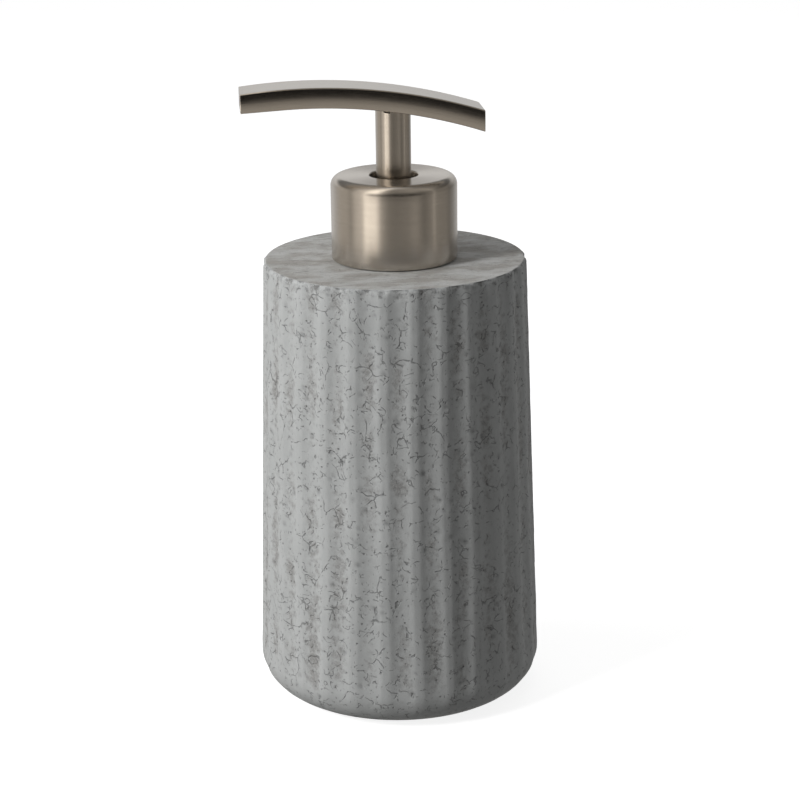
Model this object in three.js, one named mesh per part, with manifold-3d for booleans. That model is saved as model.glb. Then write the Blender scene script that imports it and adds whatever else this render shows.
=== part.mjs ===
// A soap pump dispenser: a fluted cement body cast round a plastic bottle, a steel collar over a
// screw cap, and a lotion pump whose arched steel bar is both the lever and the spout.
// Millimetres, +Z up. The origin is the centre of the foot pad's underside, on the surface that the
// dispenser stands on, and the spout points along -X.

import * as THREE from "three";
import { mergeVertices } from "three/addons/utils/BufferGeometryUtils.js";
import Module from "manifold-3d";

const wasm = await Module();
wasm.setup();

// ---------------------------------------------------------------- driving dimensions

// Cement body
const bodyHeight = 124.1; // from the surface it stands on to its flat top
const bodyBaseRadius = 39.85; // of the straight taper, carried down to that surface
const bodyTopRadius = 35.8;
const baseRounding = 10;
const rimRounding = 0.9;
const cementWall = 5.6; // behind the bottom of a flute
const cementFloor = 8;
const cementShoulder = 6; // between the bottle's shoulder and the flat top
const fluteCount = 28;
const fluteDepth = 0.58;
const fluteFade = 16; // height over which the flutes run out at the base
const fluteTurn = 1.9; // degrees that the ribs are turned from lining up with the spout
const ribShare = 0.26; // of the way from rib to rib that is flat

// Foot pad
const padRadius = 27;
const padProud = 0.8; // how far it holds the cement off the surface
const padRecess = 1.2; // how deep it sits in the cement

// Bottle and its neck, with the thread of a 28 mm screw finish
const bottleWall = 1.8;
const bottleRounding = 6;
const bottleShoulder = 9; // height of the sloping shoulder
const neckRadius = 12.6; // at the root of the thread
const neckHeight = 10.2; // above the cement
const threadPitch = 25.4 / 6;
const threadTurns = 1.05;
const ridgeRadius = 0.95; // of the thread's round ridge
const ridgeHeight = 1.1; // how far the ridge stands out
const threadStart = 3.2; // above the cement

// Screw cap and collar
const capWall = 2;
const capPlate = 1.4; // thickness of the plate that presses on the pump's flange
const collarHeight = 22.8; // above the cement
const collarRounding = 2.6;
const collarSheet = 0.9;
const collarLip = 1.2; // how far the hole's edge is turned down

// Stem and bar
const stemRadius = 4.75;
const stemWall = 0.6;
const stemInSight = 17.8; // from the collar to the bar's underside, at rest
const stemHidden = 3.4; // inside the collar, at rest
const barWidth = 13.6;
const barThickness = 5.5;
const barWall = 1;
const barArcRadius = 148.5; // of its top face
const barCrown = 21.7; // from the stem's axis to the highest point, towards the spout
const spoutReach = 40.7;
const tailReach = 24;
const spoutFlat = 10.8; // length of the underside that is straight at the spout
const endCapThickness = 1.4;
const nozzleRadius = 1.25;
const nozzleWall = 0.45;
const nozzleSet = 0.2; // how far the nozzle's face is set in from the cap's
const nozzleReach = 0.8; // beyond the cap's inner face
const channelBoreRadius = 0.9;
const channelWidth = 7;
const ventWidth = 1.9; // of the notch at the stem's top
const ventAngle = -25; // degrees from the front, towards the spout

// Pump
const stroke = 12;
const flangeThickness = 1.4;
const gasketThickness = 1;
const cylinderRadius = 6.6; // bore that the piston slides in
const cylinderWall = 1.5;
const mouthStep = 0.7; // how much wider the cylinder's mouth is, for the guide cup
const rodRadius = 2.9;
const rodBoreRadius = 1.6;
const rodFlangeHeight = 1.2;
const rodFlangeReach = 1.7; // beyond the rod
const rodAboveStem = 11; // from the stem's lower end to the rod's top
const sealHeight = 3;
const lipThickness = 0.7;
const retainerHeight = 1.8;
const guideFloor = 1.6; // thickness of the guide cup's floor
const chamberFloorThickness = 2;
const wireRadius = 0.55;
const springTurns = 7.5;
const springSpare = 12.6; // length left when the pump is pressed right down
const springCage = 7.3; // height of the cage that the spring stands on
const cageRoof = 1;
const inletBallRadius = 2.5;
const outletBallRadius = 2.1;
const outletBallLift = 1.5;
const tubeRadius = 3.4;
const tubeBoreRadius = 2.4;
const tubeSlant = 35; // degrees that its lower end is cut at
const tubeAboveFloor = 2.5;
const spigotDepth = 12; // of the socket that holds the dip tube
const spigotWall = 1.4;

// Clearances
const seatGap = 0.3; // between faces that touch on the real object
const slideGap = 0.15; // round what slides or is pushed in
const threadGap = 1.45; // from the neck to the cap's bore
const springGap = 0.9; // round the spring in the cylinder
const ballGap = 0.6; // round the inlet ball in its cage
const guideGap = 0.6; // round the stem in the guide cup
const collarHoleGap = 1.85; // round the stem in the collar's hole

const fine = 48; // segments of a large turned piece
const coarse = 28; // segments of a small one
const barChord = 4.5; // length of the flats that stand for the bar's arc

// ---------------------------------------------------------------- sizes worked out from them

const capBore = neckRadius + threadGap;
const capRadius = capBore + capWall;
const collarRadius = capRadius + slideGap + collarSheet;
const collarHoleRadius = stemRadius + collarHoleGap;
const mouthRadius = cylinderRadius + mouthStep;
const housingRadius = cylinderRadius + cylinderWall;
const brimRadius = mouthRadius + cylinderWall;
const flangeRadius = neckRadius - 0.2;
const stemBore = stemRadius - stemWall;
const nippleRadius = stemBore - 1.5; // of the socket's end that reaches into the bar

const springLength = stroke + springSpare;
const neckTop = bodyHeight + neckHeight;
const flangeBottom = neckTop + gasketThickness + 2 * seatGap;
const flangeTop = flangeBottom + flangeThickness;
const collarTop = bodyHeight + collarHeight;
const stemBottom = collarTop - stemHidden;
const guideFloorTop = stemBottom - stroke - seatGap;
const guideBottom = guideFloorTop - guideFloor;
const pistonTop = guideBottom - seatGap;
const sealBottom = pistonTop - rodFlangeHeight - seatGap - sealHeight;
const retainerBottom = sealBottom - seatGap - retainerHeight;
const springTop = retainerBottom - seatGap;
const springBottom = springTop - springLength;
const cageTop = springBottom - seatGap;
const chamberFloor = cageTop - springCage;
const spigotBottom = chamberFloor - chamberFloorThickness - spigotDepth;
const rodTop = stemBottom + rodAboveStem;
const bottleFloor = padProud + cementFloor + seatGap;

// The bar's top face is an arc of barArcRadius. Its centre lies so that the underside over the
// stem's axis is stemInSight above the collar.
const barUnderRadius = barArcRadius - barThickness;
const arcCentreZ = collarTop + stemInSight - Math.sqrt(barUnderRadius ** 2 - barCrown ** 2);
const barHeightAt = (x, radius) => arcCentreZ + Math.sqrt(radius ** 2 - (x + barCrown) ** 2);
const barMiddleAt = (x) => barHeightAt(x, barArcRadius - barThickness / 2);

const bodyRadiusAt = (z) => THREE.MathUtils.lerp(bodyBaseRadius, bodyTopRadius, z / bodyHeight);
const bottleRadiusAt = (z) => bodyRadiusAt(z) - fluteDepth - cementWall - seatGap;

// ---------------------------------------------------------------- solids

// A geometry as a manifold-3d solid, with its shared vertices merged.
function solid(geometry) {
  const bare = geometry.clone();
  bare.deleteAttribute("normal");
  bare.deleteAttribute("uv");
  const merged = mergeVertices(bare, 1e-4);
  return new wasm.Manifold(
    new wasm.Mesh({
      numProp: 3,
      vertProperties: merged.attributes.position.array,
      triVerts: new Uint32Array(merged.index.array),
    }),
  );
}

function geometryOf(body) {
  const mesh = body.getMesh();
  const geometry = new THREE.BufferGeometry();
  geometry.setAttribute("position", new THREE.BufferAttribute(mesh.vertProperties, 3));
  geometry.setIndex(new THREE.BufferAttribute(mesh.triVerts, 1));
  const flat = geometry.toNonIndexed();
  flat.computeVertexNormals();
  return flat;
}

const cut = (geometry, ...tools) =>
  geometryOf(tools.reduce((body, tool) => body.subtract(solid(tool)), solid(geometry)));

const joined = (geometry, ...others) =>
  geometryOf(others.reduce((body, other) => body.add(solid(other)), solid(geometry)));

// The points of a round corner: centre, radius, and the angles it turns through, in degrees.
function corner(r, z, radius, from, to, steps = 4) {
  return Array.from({ length: steps + 1 }, (_, i) => {
    const angle = THREE.MathUtils.degToRad(THREE.MathUtils.lerp(from, to, i / steps));
    return [r + radius * Math.cos(angle), z + radius * Math.sin(angle)];
  });
}

// An outline of [radius, height] points turned about Z. It runs anticlockwise, with the axis on its
// left, and closes on itself unless it starts and ends on the axis.
function turned(outline, segments = coarse) {
  const points = outline.map(([r, z]) => new THREE.Vector2(r, z));
  if (outline[0][0] > 0) points.push(points[0].clone());
  return new THREE.LatheGeometry(points, segments).rotateX(Math.PI / 2);
}

function disc(radius, bottom, top, segments = coarse) {
  return turned([[0, bottom], [radius, bottom], [radius, top], [0, top]], segments);
}

function ring(inner, outer, bottom, top, segments = coarse) {
  return turned([[inner, bottom], [outer, bottom], [outer, top], [inner, top]], segments);
}

// A helix about Z that climbs anticlockwise. climb gives the height at t, from 0 to 1.
class Helix extends THREE.Curve {
  constructor(radius, turns, climb, startAngle = 0) {
    super();
    Object.assign(this, { radius, turns, climb, startAngle });
  }

  getPoint(t, target = new THREE.Vector3()) {
    const angle = this.startAngle + t * this.turns * 2 * Math.PI;
    return target.set(this.radius * Math.cos(angle), this.radius * Math.sin(angle), this.climb(t));
  }
}

// The middle line of the bar, from one x to another.
class BarArc extends THREE.Curve {
  constructor(fromX, toX) {
    super();
    Object.assign(this, { fromX, toX });
  }

  getPoint(t, target = new THREE.Vector3()) {
    const x = THREE.MathUtils.lerp(this.fromX, this.toX, t);
    return target.set(x, 0, barMiddleAt(x));
  }
}

// A round section with the given number of sides, swept along a curve.
function swept(path, radius, sides, steps) {
  const section = new THREE.Shape(
    Array.from({ length: sides }, (_, i) => {
      const angle = (i / sides) * 2 * Math.PI;
      return new THREE.Vector2(radius * Math.cos(angle), radius * Math.sin(angle));
    }),
  );
  return new THREE.ExtrudeGeometry(section, { steps, extrudePath: path });
}

// One ridge of the screw thread, whose middle runs at the given radius.
function threadRib(radius, startAngle) {
  const climb = (t) => bodyHeight + threadStart + t * threadTurns * threadPitch;
  const path = new Helix(radius, threadTurns, climb, startAngle);
  return swept(path, ridgeRadius, 6, 26);
}

// ---------------------------------------------------------------- bottle and cement

// The bottle's outline grown by a distance on every side. The cement is cast round it.
function bottleOutline(grow, top) {
  const floor = bottleFloor - grow;
  const shoulderTop = bodyHeight - cementShoulder - seatGap + grow;
  const shoulderBottom = shoulderTop - bottleShoulder;
  const cornerZ = bottleFloor + bottleRounding;
  const cornerR = bottleRadiusAt(cornerZ) - bottleRounding;
  return [
    [0, floor],
    ...corner(cornerR, cornerZ, bottleRounding + grow, -90, 0),
    [bottleRadiusAt(shoulderBottom) + grow, shoulderBottom],
    [neckRadius + grow, shoulderTop],
    [neckRadius + grow, top],
    [0, top],
  ];
}

// How deep a flute cuts at an angle and a height: round hollows between narrow flat ribs.
function fluteCut(angle, z) {
  const turns = (fluteCount * (angle - THREE.MathUtils.degToRad(fluteTurn))) / (2 * Math.PI);
  const fromRib = Math.abs(turns - Math.round(turns));
  const fromHollow = Math.min(1, (0.5 - fromRib) / (0.5 - ribShare / 2));
  const fade = THREE.MathUtils.smoothstep(z, padProud, padProud + fluteFade);
  return fluteDepth * fade * (1 - fromHollow ** 2);
}

function flutedBlank() {
  const roundZ = padProud + baseRounding;
  const sideHeights = [0.17, 0.55].map((share) => share * bodyHeight);
  const blank = turned(
    [
      [0, padProud],
      ...corner(bodyRadiusAt(roundZ) - baseRounding, roundZ, baseRounding, -90, 0),
      ...sideHeights.map((z) => [bodyRadiusAt(z), z]),
      ...corner(bodyTopRadius - rimRounding, bodyHeight - rimRounding, rimRounding, 0, 90, 2),
      [0, bodyHeight],
    ],
    fluteCount * 5,
  );
  const position = blank.attributes.position;
  for (let i = 0; i < position.count; i++) {
    const x = position.getX(i);
    const y = position.getY(i);
    const radius = Math.hypot(x, y);
    if (radius < bodyTopRadius - 2 * rimRounding) continue;
    const scale = 1 - fluteCut(Math.atan2(y, x), position.getZ(i)) / radius;
    position.setXY(i, x * scale, y * scale);
  }
  return blank;
}

function cementBody() {
  const cavity = turned(bottleOutline(seatGap, bodyHeight + 1), fine);
  const padSeat = disc(padRadius + seatGap, -1, padProud + padRecess, fine);
  return cut(flutedBlank(), cavity, padSeat);
}

function footPad() {
  const top = padProud + padRecess - seatGap;
  return turned([[0, 0], ...corner(padRadius - 0.4, 0.4, 0.4, -90, 0, 2), [padRadius, top], [0, top]], fine);
}

function innerBottle() {
  const rib = threadRib(neckRadius + ridgeHeight - ridgeRadius, 0);
  const hollow = turned(bottleOutline(-bottleWall, neckTop + 1), fine);
  return cut(joined(turned(bottleOutline(0, neckTop), fine), rib), hollow);
}

// ---------------------------------------------------------------- cap and collar

function closureCap() {
  const bottom = bodyHeight + 2 * seatGap;
  const plateBottom = flangeTop + seatGap;
  const plateTop = plateBottom + capPlate;
  const sleeveBore = capRadius - 0.7 * capWall;
  const sleeveTop = collarTop - collarRounding - slideGap;
  const holeRadius = brimRadius + seatGap;
  const blank = turned(
    [
      [capBore, bottom],
      [capRadius, bottom],
      [capRadius, sleeveTop],
      [sleeveBore, sleeveTop],
      [sleeveBore, plateTop],
      [holeRadius, plateTop],
      [holeRadius, plateBottom],
      [capBore, plateBottom],
    ],
    fine,
  );
  // The cap's ridge runs half a turn behind the neck's, under it, so the two are in mesh.
  const rib = threadRib(capBore - ridgeHeight + ridgeRadius, Math.PI);
  return joined(blank, rib);
}

function collarShell() {
  const bottom = bodyHeight + seatGap;
  const r = collarRadius - collarRounding;
  const z = collarTop - collarRounding;
  return turned(
    [
      [collarRadius - collarSheet, bottom],
      [collarRadius, bottom],
      ...corner(r, z, collarRounding, 0, 90),
      [collarHoleRadius + 0.3, collarTop],
      [collarHoleRadius, collarTop - 0.3],
      [collarHoleRadius, collarTop - collarSheet - collarLip],
      [collarHoleRadius + collarSheet, collarTop - collarSheet - collarLip],
      [collarHoleRadius + collarSheet, collarTop - collarSheet],
      ...corner(r, z, collarRounding - collarSheet, 90, 0, 3),
    ],
    fine,
  );
}

// ---------------------------------------------------------------- pump

function neckGasket() {
  const bottom = neckTop + seatGap;
  return ring(neckRadius - bottleWall, flangeRadius, bottom, bottom + gasketThickness, fine);
}

function pumpHousing() {
  const floorBottom = chamberFloor - chamberFloorThickness;
  const spigotRadius = tubeRadius + slideGap + spigotWall;
  return turned([
    [tubeRadius + slideGap, spigotBottom],
    [spigotRadius, spigotBottom],
    [spigotRadius, floorBottom - 3],
    [housingRadius, floorBottom + 2],
    [housingRadius, guideBottom - 3],
    [brimRadius, guideBottom - 1],
    [brimRadius, flangeBottom],
    [flangeRadius, flangeBottom],
    [flangeRadius, flangeTop],
    [mouthRadius, flangeTop],
    [mouthRadius, guideBottom - seatGap],
    [cylinderRadius, guideBottom - seatGap - 0.3],
    [cylinderRadius, chamberFloor],
    [rodBoreRadius, chamberFloor],
    [rodBoreRadius, floorBottom],
    [tubeRadius + slideGap, floorBottom],
  ]);
}

// The cup that guides the stem and keeps the piston in its cylinder.
function guideCup() {
  const bore = stemRadius + guideGap;
  const plug = mouthRadius - slideGap;
  const brimBottom = flangeTop + seatGap;
  const top = collarTop - collarSheet - collarLip - seatGap;
  return turned([
    [rodRadius + seatGap, guideBottom],
    [plug, guideBottom],
    [plug, brimBottom],
    [brimRadius, brimBottom],
    [brimRadius, top],
    [bore, top],
    [bore, guideFloorTop],
    [rodRadius + seatGap, guideFloorTop],
  ]);
}

// The spring's end turns lie close together, so that each end stands flat.
function returnSpring() {
  const low = springBottom + wireRadius;
  const high = springTop - wireRadius;
  const flatShare = 0.9 / springTurns;
  const flatRise = 2 * wireRadius;
  const climb = (t) => {
    if (t < flatShare) return low + (flatRise * t) / flatShare;
    if (t > 1 - flatShare) return high - (flatRise * (1 - t)) / flatShare;
    const middle = (t - flatShare) / (1 - 2 * flatShare);
    return THREE.MathUtils.lerp(low + flatRise, high - flatRise, middle);
  };
  const path = new Helix(cylinderRadius - wireRadius - springGap, springTurns, climb);
  return swept(path, wireRadius, 6, springTurns * 12);
}

// The cage stands on the cylinder's floor, holds the inlet ball and carries the spring.
function ballCage() {
  const outer = cylinderRadius - slideGap;
  const bore = inletBallRadius + ballGap;
  const roofBottom = cageTop - cageRoof;
  return turned([
    [bore, chamberFloor + seatGap],
    [outer, chamberFloor + seatGap],
    [outer, cageTop],
    [rodBoreRadius, cageTop],
    [rodBoreRadius, roofBottom],
    [bore, roofBottom],
  ]);
}

// How far the centre of a ball that rests on the rim of a hole is above the rim.
const ballRise = (radius) => Math.sqrt(radius ** 2 - rodBoreRadius ** 2) + slideGap;

function seatedBall(radius, seatZ) {
  const ball = new THREE.SphereGeometry(radius, 14, 8).rotateX(Math.PI / 2);
  return ball.translate(0, 0, seatZ + ballRise(radius));
}

function dipTube() {
  const bottom = bottleFloor + bottleWall + tubeAboveFloor;
  const top = chamberFloor - chamberFloorThickness - seatGap;
  const angle = THREE.MathUtils.degToRad(tubeSlant);
  const slant = new THREE.BoxGeometry(20, 20, 10).translate(0, 0, -5).rotateY(angle);
  slant.translate(0, 0, bottom + tubeRadius * Math.tan(angle));
  return cut(ring(tubeBoreRadius, tubeRadius, bottom, top, 24), slant);
}

// ---------------------------------------------------------------- piston

function pistonRod() {
  return turned(
    [
      [rodBoreRadius, retainerBottom],
      [rodRadius, retainerBottom],
      [rodRadius, pistonTop - rodFlangeHeight],
      [rodRadius + rodFlangeReach, pistonTop - rodFlangeHeight],
      [rodRadius + rodFlangeReach, pistonTop],
      [rodRadius, pistonTop],
      [rodRadius, rodTop],
      [rodBoreRadius, rodTop],
    ],
    24,
  );
}

// A cup with two thin lips that wipe the cylinder.
function pistonSeal() {
  const hub = rodRadius + slideGap;
  const lip = cylinderRadius - slideGap;
  const waist = lip - lipThickness;
  const root = waist - lipThickness / 2;
  const hubTop = sealBottom + sealHeight;
  return turned([
    [hub, sealBottom],
    [root, sealBottom],
    [lip, sealBottom - 0.6],
    [lip, sealBottom + 0.2],
    [waist, sealBottom + 1],
    [waist, hubTop - 0.6],
    [lip, hubTop + 0.4],
    [lip, pistonTop],
    [waist, pistonTop],
    [root, hubTop],
    [hub, hubTop],
  ]);
}

// The bush pressed on the rod's end, which carries the seal and takes the spring's push.
function pistonRetainer() {
  const top = retainerBottom + retainerHeight;
  const outer = cylinderRadius - slideGap - 2 * lipThickness;
  return ring(rodRadius + slideGap, outer, retainerBottom, top);
}

// ---------------------------------------------------------------- head

// The bar's side view between two ends, drawn smaller by an inset on its top and underside.
function barSide(inset, fromX, toX) {
  const topRadius = barArcRadius - inset;
  const underRadius = barUnderRadius + inset;
  const flatEnd = -spoutReach + spoutFlat;
  const angleAt = (x, radius) => Math.acos((x + barCrown) / radius);
  const flatAngle = angleAt(flatEnd, underRadius);
  const side = new THREE.Shape();
  side.moveTo(fromX, barHeightAt(fromX, topRadius));
  side.absarc(-barCrown, arcCentreZ, topRadius, angleAt(fromX, topRadius), angleAt(toX, topRadius), true);
  if (fromX < flatEnd && toX > flatEnd) {
    side.absarc(-barCrown, arcCentreZ, underRadius, angleAt(toX, underRadius), flatAngle, false);
  }
  // The flat touches the arc at flatEnd and runs on to the spout along its tangent.
  const onFlat = (x) => barHeightAt(flatEnd, underRadius) + (flatEnd - x) / Math.tan(flatAngle);
  if (fromX < flatEnd) {
    if (toX <= flatEnd) side.lineTo(toX, onFlat(toX));
    side.lineTo(fromX, onFlat(fromX));
  } else {
    const ends = [angleAt(toX, underRadius), angleAt(fromX, underRadius)];
    side.absarc(-barCrown, arcCentreZ, underRadius, ...ends, false);
  }
  side.closePath();
  return side;
}

// A slab of the bar's side view, centred across the bar.
function barSlab(inset, width, fromX, toX) {
  const curveSegments = Math.ceil((toX - fromX) / barChord);
  const outline = barSide(inset, fromX, toX);
  const slab = new THREE.ExtrudeGeometry(outline, { depth: width, bevelEnabled: false, curveSegments });
  return slab.rotateX(Math.PI / 2).translate(0, width / 2, 0);
}

function handleBar() {
  const cavityWidth = barWidth - 2 * barWall;
  const hollow = barSlab(barWall, cavityWidth, -spoutReach - 1, tailReach + 1);
  const underside = barHeightAt(0, barUnderRadius);
  const inlet = disc(nippleRadius + seatGap, underside - 2, underside + 2 * barWall, 24);
  return cut(barSlab(0, barWidth, -spoutReach, tailReach), hollow, inlet);
}

function endCap(fromX, toX) {
  const inset = barWall + slideGap;
  return barSlab(inset, barWidth - 2 * inset, fromX, toX);
}

// A round bar along X at the height of the bar's middle where it ends.
function alongX(radius, fromX, toX, z) {
  const bar = new THREE.CylinderGeometry(radius, radius, toX - fromX, 20);
  return bar.rotateZ(Math.PI / 2).translate((fromX + toX) / 2, 0, z);
}

const spoutFace = -spoutReach;
const nozzleEnd = spoutFace + endCapThickness + nozzleReach;
const nozzleZ = barMiddleAt(spoutFace + endCapThickness);

function spoutEndCap() {
  const hole = alongX(nozzleRadius + slideGap, spoutFace - 1, spoutFace + 2 * endCapThickness, nozzleZ);
  return cut(endCap(spoutFace, spoutFace + endCapThickness), hole);
}

function nozzleInsert() {
  const tube = alongX(nozzleRadius, spoutFace + nozzleSet, nozzleEnd, nozzleZ);
  return cut(tube, alongX(nozzleRadius - nozzleWall, spoutFace - 1, nozzleEnd + 1, nozzleZ));
}

// The plastic channel that carries the soap from the stem to the nozzle.
function soapChannel() {
  const start = nozzleEnd + seatGap;
  const bore = swept(new BarArc(start - 1, 0), channelBoreRadius, 10, 14);
  const inlet = disc(channelBoreRadius, barMiddleAt(0) - barThickness, barMiddleAt(0), 16);
  return cut(barSlab(barWall + seatGap, channelWidth, start, stemRadius), bore, inlet);
}

// The stem's top is shaped to the bar's underside, and has a small vent notch at its front.
function stemTube() {
  const blank = ring(stemBore, stemRadius, stemBottom, barMiddleAt(0), fine);
  const bar = barSlab(-seatGap, barWidth + 2, -spoutReach, tailReach);
  const notch = new THREE.BoxGeometry(ventWidth, 3, 1.4);
  notch.translate(0, -stemRadius, barHeightAt(-ventWidth, barUnderRadius) - seatGap);
  notch.rotateZ(THREE.MathUtils.degToRad(ventAngle));
  return cut(blank, bar, notch);
}

// The plastic socket inside the stem that takes the piston rod and holds the outlet ball.
function rodSocket() {
  const outer = stemBore - slideGap;
  const bore = rodRadius + slideGap;
  const ballTop = rodTop + ballRise(outletBallRadius) + outletBallRadius;
  const roofBottom = ballTop + outletBallLift + seatGap;
  const bodyTop = barHeightAt(stemRadius, barUnderRadius) - seatGap;
  const nippleTop = barHeightAt(nippleRadius, barUnderRadius + barWall + seatGap) - slideGap;
  return turned(
    [
      [bore, stemBottom + 2 * seatGap],
      [outer, stemBottom + 2 * seatGap],
      [outer, bodyTop],
      [nippleRadius, bodyTop],
      [nippleRadius, nippleTop],
      [channelBoreRadius, nippleTop],
      [channelBoreRadius, roofBottom],
      [bore, roofBottom],
    ],
    24,
  );
}

// ---------------------------------------------------------------- scene

const finish = (color, roughness, metalness = 0) =>
  new THREE.MeshStandardMaterial({ color, roughness, metalness });
const cement = () => finish(0x9c9e9d, 0.92);
const steel = () => finish(0xa39d94, 0.34, 1);
const plastic = (color) => finish(color, 0.5);

function piece(name, geometry, material) {
  const mesh = new THREE.Mesh(geometry, material);
  mesh.name = name;
  return mesh;
}

function group(...pieces) {
  return new THREE.Group().add(...pieces);
}

const bottle = group(
  piece("concrete_body", cementBody(), cement()),
  piece("inner_bottle", innerBottle(), plastic(0xe6e6e2)),
  piece("foot_pad", footPad(), finish(0x2b2b2b, 0.9)),
);

const closure = group(
  piece("closure_cap", closureCap(), plastic(0x2f3032)),
  piece("collar_shell", collarShell(), steel()),
);

const pumpEngine = group(
  piece("pump_housing", pumpHousing(), plastic(0xf0f0ec)),
  piece("neck_gasket", neckGasket(), finish(0xd8d5cc, 0.8)),
  piece("guide_cup", guideCup(), plastic(0x2f3032)),
  piece("return_spring", returnSpring(), finish(0xb8b8b8, 0.25, 1)),
  piece("ball_cage", ballCage(), plastic(0xf0f0ec)),
  piece("dip_tube", dipTube(), plastic(0xf2f2ee)),
  piece("inlet_ball", seatedBall(inletBallRadius, chamberFloor), finish(0xc8c8c8, 0.1, 1)),
);

const piston = group(
  piece("piston_rod", pistonRod(), plastic(0xf0f0ec)),
  piece("piston_seal", pistonSeal(), plastic(0xf5f5f2)),
  piece("piston_retainer", pistonRetainer(), plastic(0xf0f0ec)),
  piece("outlet_ball", seatedBall(outletBallRadius, rodTop), finish(0xc8c8c8, 0.1, 1)),
);

const head = group(
  piece("stem_tube", stemTube(), steel()),
  piece("rod_socket", rodSocket(), plastic(0xf0f0ec)),
  piece("handle_bar", handleBar(), steel()),
  piece("spout_end_cap", spoutEndCap(), steel()),
  piece("rear_end_cap", endCap(tailReach - endCapThickness, tailReach), steel()),
  piece("soap_channel", soapChannel(), plastic(0xf0f0ec)),
  piece("nozzle_insert", nozzleInsert(), plastic(0x3a4048)),
);

export default group(bottle, closure, pumpEngine, piston, head);
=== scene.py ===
# %% [markdown]
# # A soap pump dispenser in fluted cement and brushed steel
# The real object is a cement body cast round a plastic bottle, with a steel collar over the screw
# cap, and a lotion pump whose arched steel bar is both the lever and the spout. The engineering
# model already gives every part its size and its joints. This lesson keeps those places, makes
# again the parts that are in sight with more detail, and gives every part a finish.

# %% Load the engineering model
import math
import random

import bmesh
import bpy
from mathutils import Matrix, Vector, kdtree, noise


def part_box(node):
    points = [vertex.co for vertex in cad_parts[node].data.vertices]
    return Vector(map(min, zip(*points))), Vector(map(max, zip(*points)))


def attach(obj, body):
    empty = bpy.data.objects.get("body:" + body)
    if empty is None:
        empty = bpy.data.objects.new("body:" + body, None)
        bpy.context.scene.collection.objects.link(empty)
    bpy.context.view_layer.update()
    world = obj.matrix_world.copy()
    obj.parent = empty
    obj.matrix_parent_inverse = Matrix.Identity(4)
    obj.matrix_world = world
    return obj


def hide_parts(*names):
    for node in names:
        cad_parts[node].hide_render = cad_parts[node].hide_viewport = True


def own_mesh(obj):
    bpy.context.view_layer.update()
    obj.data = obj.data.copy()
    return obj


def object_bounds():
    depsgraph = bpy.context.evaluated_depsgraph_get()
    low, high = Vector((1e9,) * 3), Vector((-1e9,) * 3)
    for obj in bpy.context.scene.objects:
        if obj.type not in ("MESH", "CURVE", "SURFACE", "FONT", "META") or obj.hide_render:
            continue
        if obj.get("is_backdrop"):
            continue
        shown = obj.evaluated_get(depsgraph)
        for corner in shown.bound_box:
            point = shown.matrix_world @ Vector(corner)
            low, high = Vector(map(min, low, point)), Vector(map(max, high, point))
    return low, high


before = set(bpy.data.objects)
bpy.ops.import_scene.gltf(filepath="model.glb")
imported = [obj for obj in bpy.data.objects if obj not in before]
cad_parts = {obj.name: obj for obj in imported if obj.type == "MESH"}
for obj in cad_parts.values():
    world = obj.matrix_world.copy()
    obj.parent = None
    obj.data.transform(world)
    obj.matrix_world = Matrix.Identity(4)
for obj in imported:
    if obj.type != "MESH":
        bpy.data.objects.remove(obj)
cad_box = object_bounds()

MM = 0.001
print("size in mm:", [round(v / MM, 1) for v in cad_box[1] - cad_box[0]])


# %% [markdown]
# ## The camera
# The dispenser is looked at from a little above, from the front, with the bar turned about five
# degrees so that the spout's end comes nearer. A long lens from 0.57 m keeps the body's sides
# nearly parallel. The camera leans a fraction of a degree, so its axes are worked out from its
# heading, its pitch and its lean, and set as a matrix.

# %% Camera
HEADING = math.radians(5.52)  # from +Y towards +X
PITCH = math.radians(17.79)  # downwards
LEAN = math.radians(-0.72)
CAMERA_AT = Vector((-0.0539, -0.5674, 0.2660))
LENS_MM, SENSOR_MM = 96.9, 36


def camera_axes():
    """The camera's own X, Y and Z axes in the frame."""
    ahead = Vector((
        math.sin(HEADING) * math.cos(PITCH),
        math.cos(HEADING) * math.cos(PITCH),
        -math.sin(PITCH),
    ))
    right = Vector((math.cos(HEADING), -math.sin(HEADING), 0))
    up = right.cross(ahead)
    leaning_right = right * math.cos(LEAN) + up * math.sin(LEAN)
    leaning_up = up * math.cos(LEAN) - right * math.sin(LEAN)
    return leaning_right, leaning_up, -ahead


lens = bpy.data.cameras.new("camera")
lens.lens = LENS_MM
lens.sensor_width = SENSOR_MM
camera = bpy.data.objects.new("camera", lens)
bpy.context.scene.collection.objects.link(camera)
camera.matrix_world = Matrix.Translation(CAMERA_AT) @ Matrix(camera_axes()).transposed().to_4x4()
bpy.context.scene.camera = camera
bpy.context.scene.view_settings.view_transform = "Standard"
print("camera at", [round(v, 3) for v in camera.location])


# %% [markdown]
# ## Writing a finish as sums
# Every finish here is a network of nodes. Wiring it by hand is long, and Python can read as the
# maths that it stands for. One small class wraps a node's output and overloads the operators, so
# 1 - mask adds its Math node by itself. Any other node comes from one method, add, which takes
# the node's type, its settings, and the values or links of its sockets.

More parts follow.
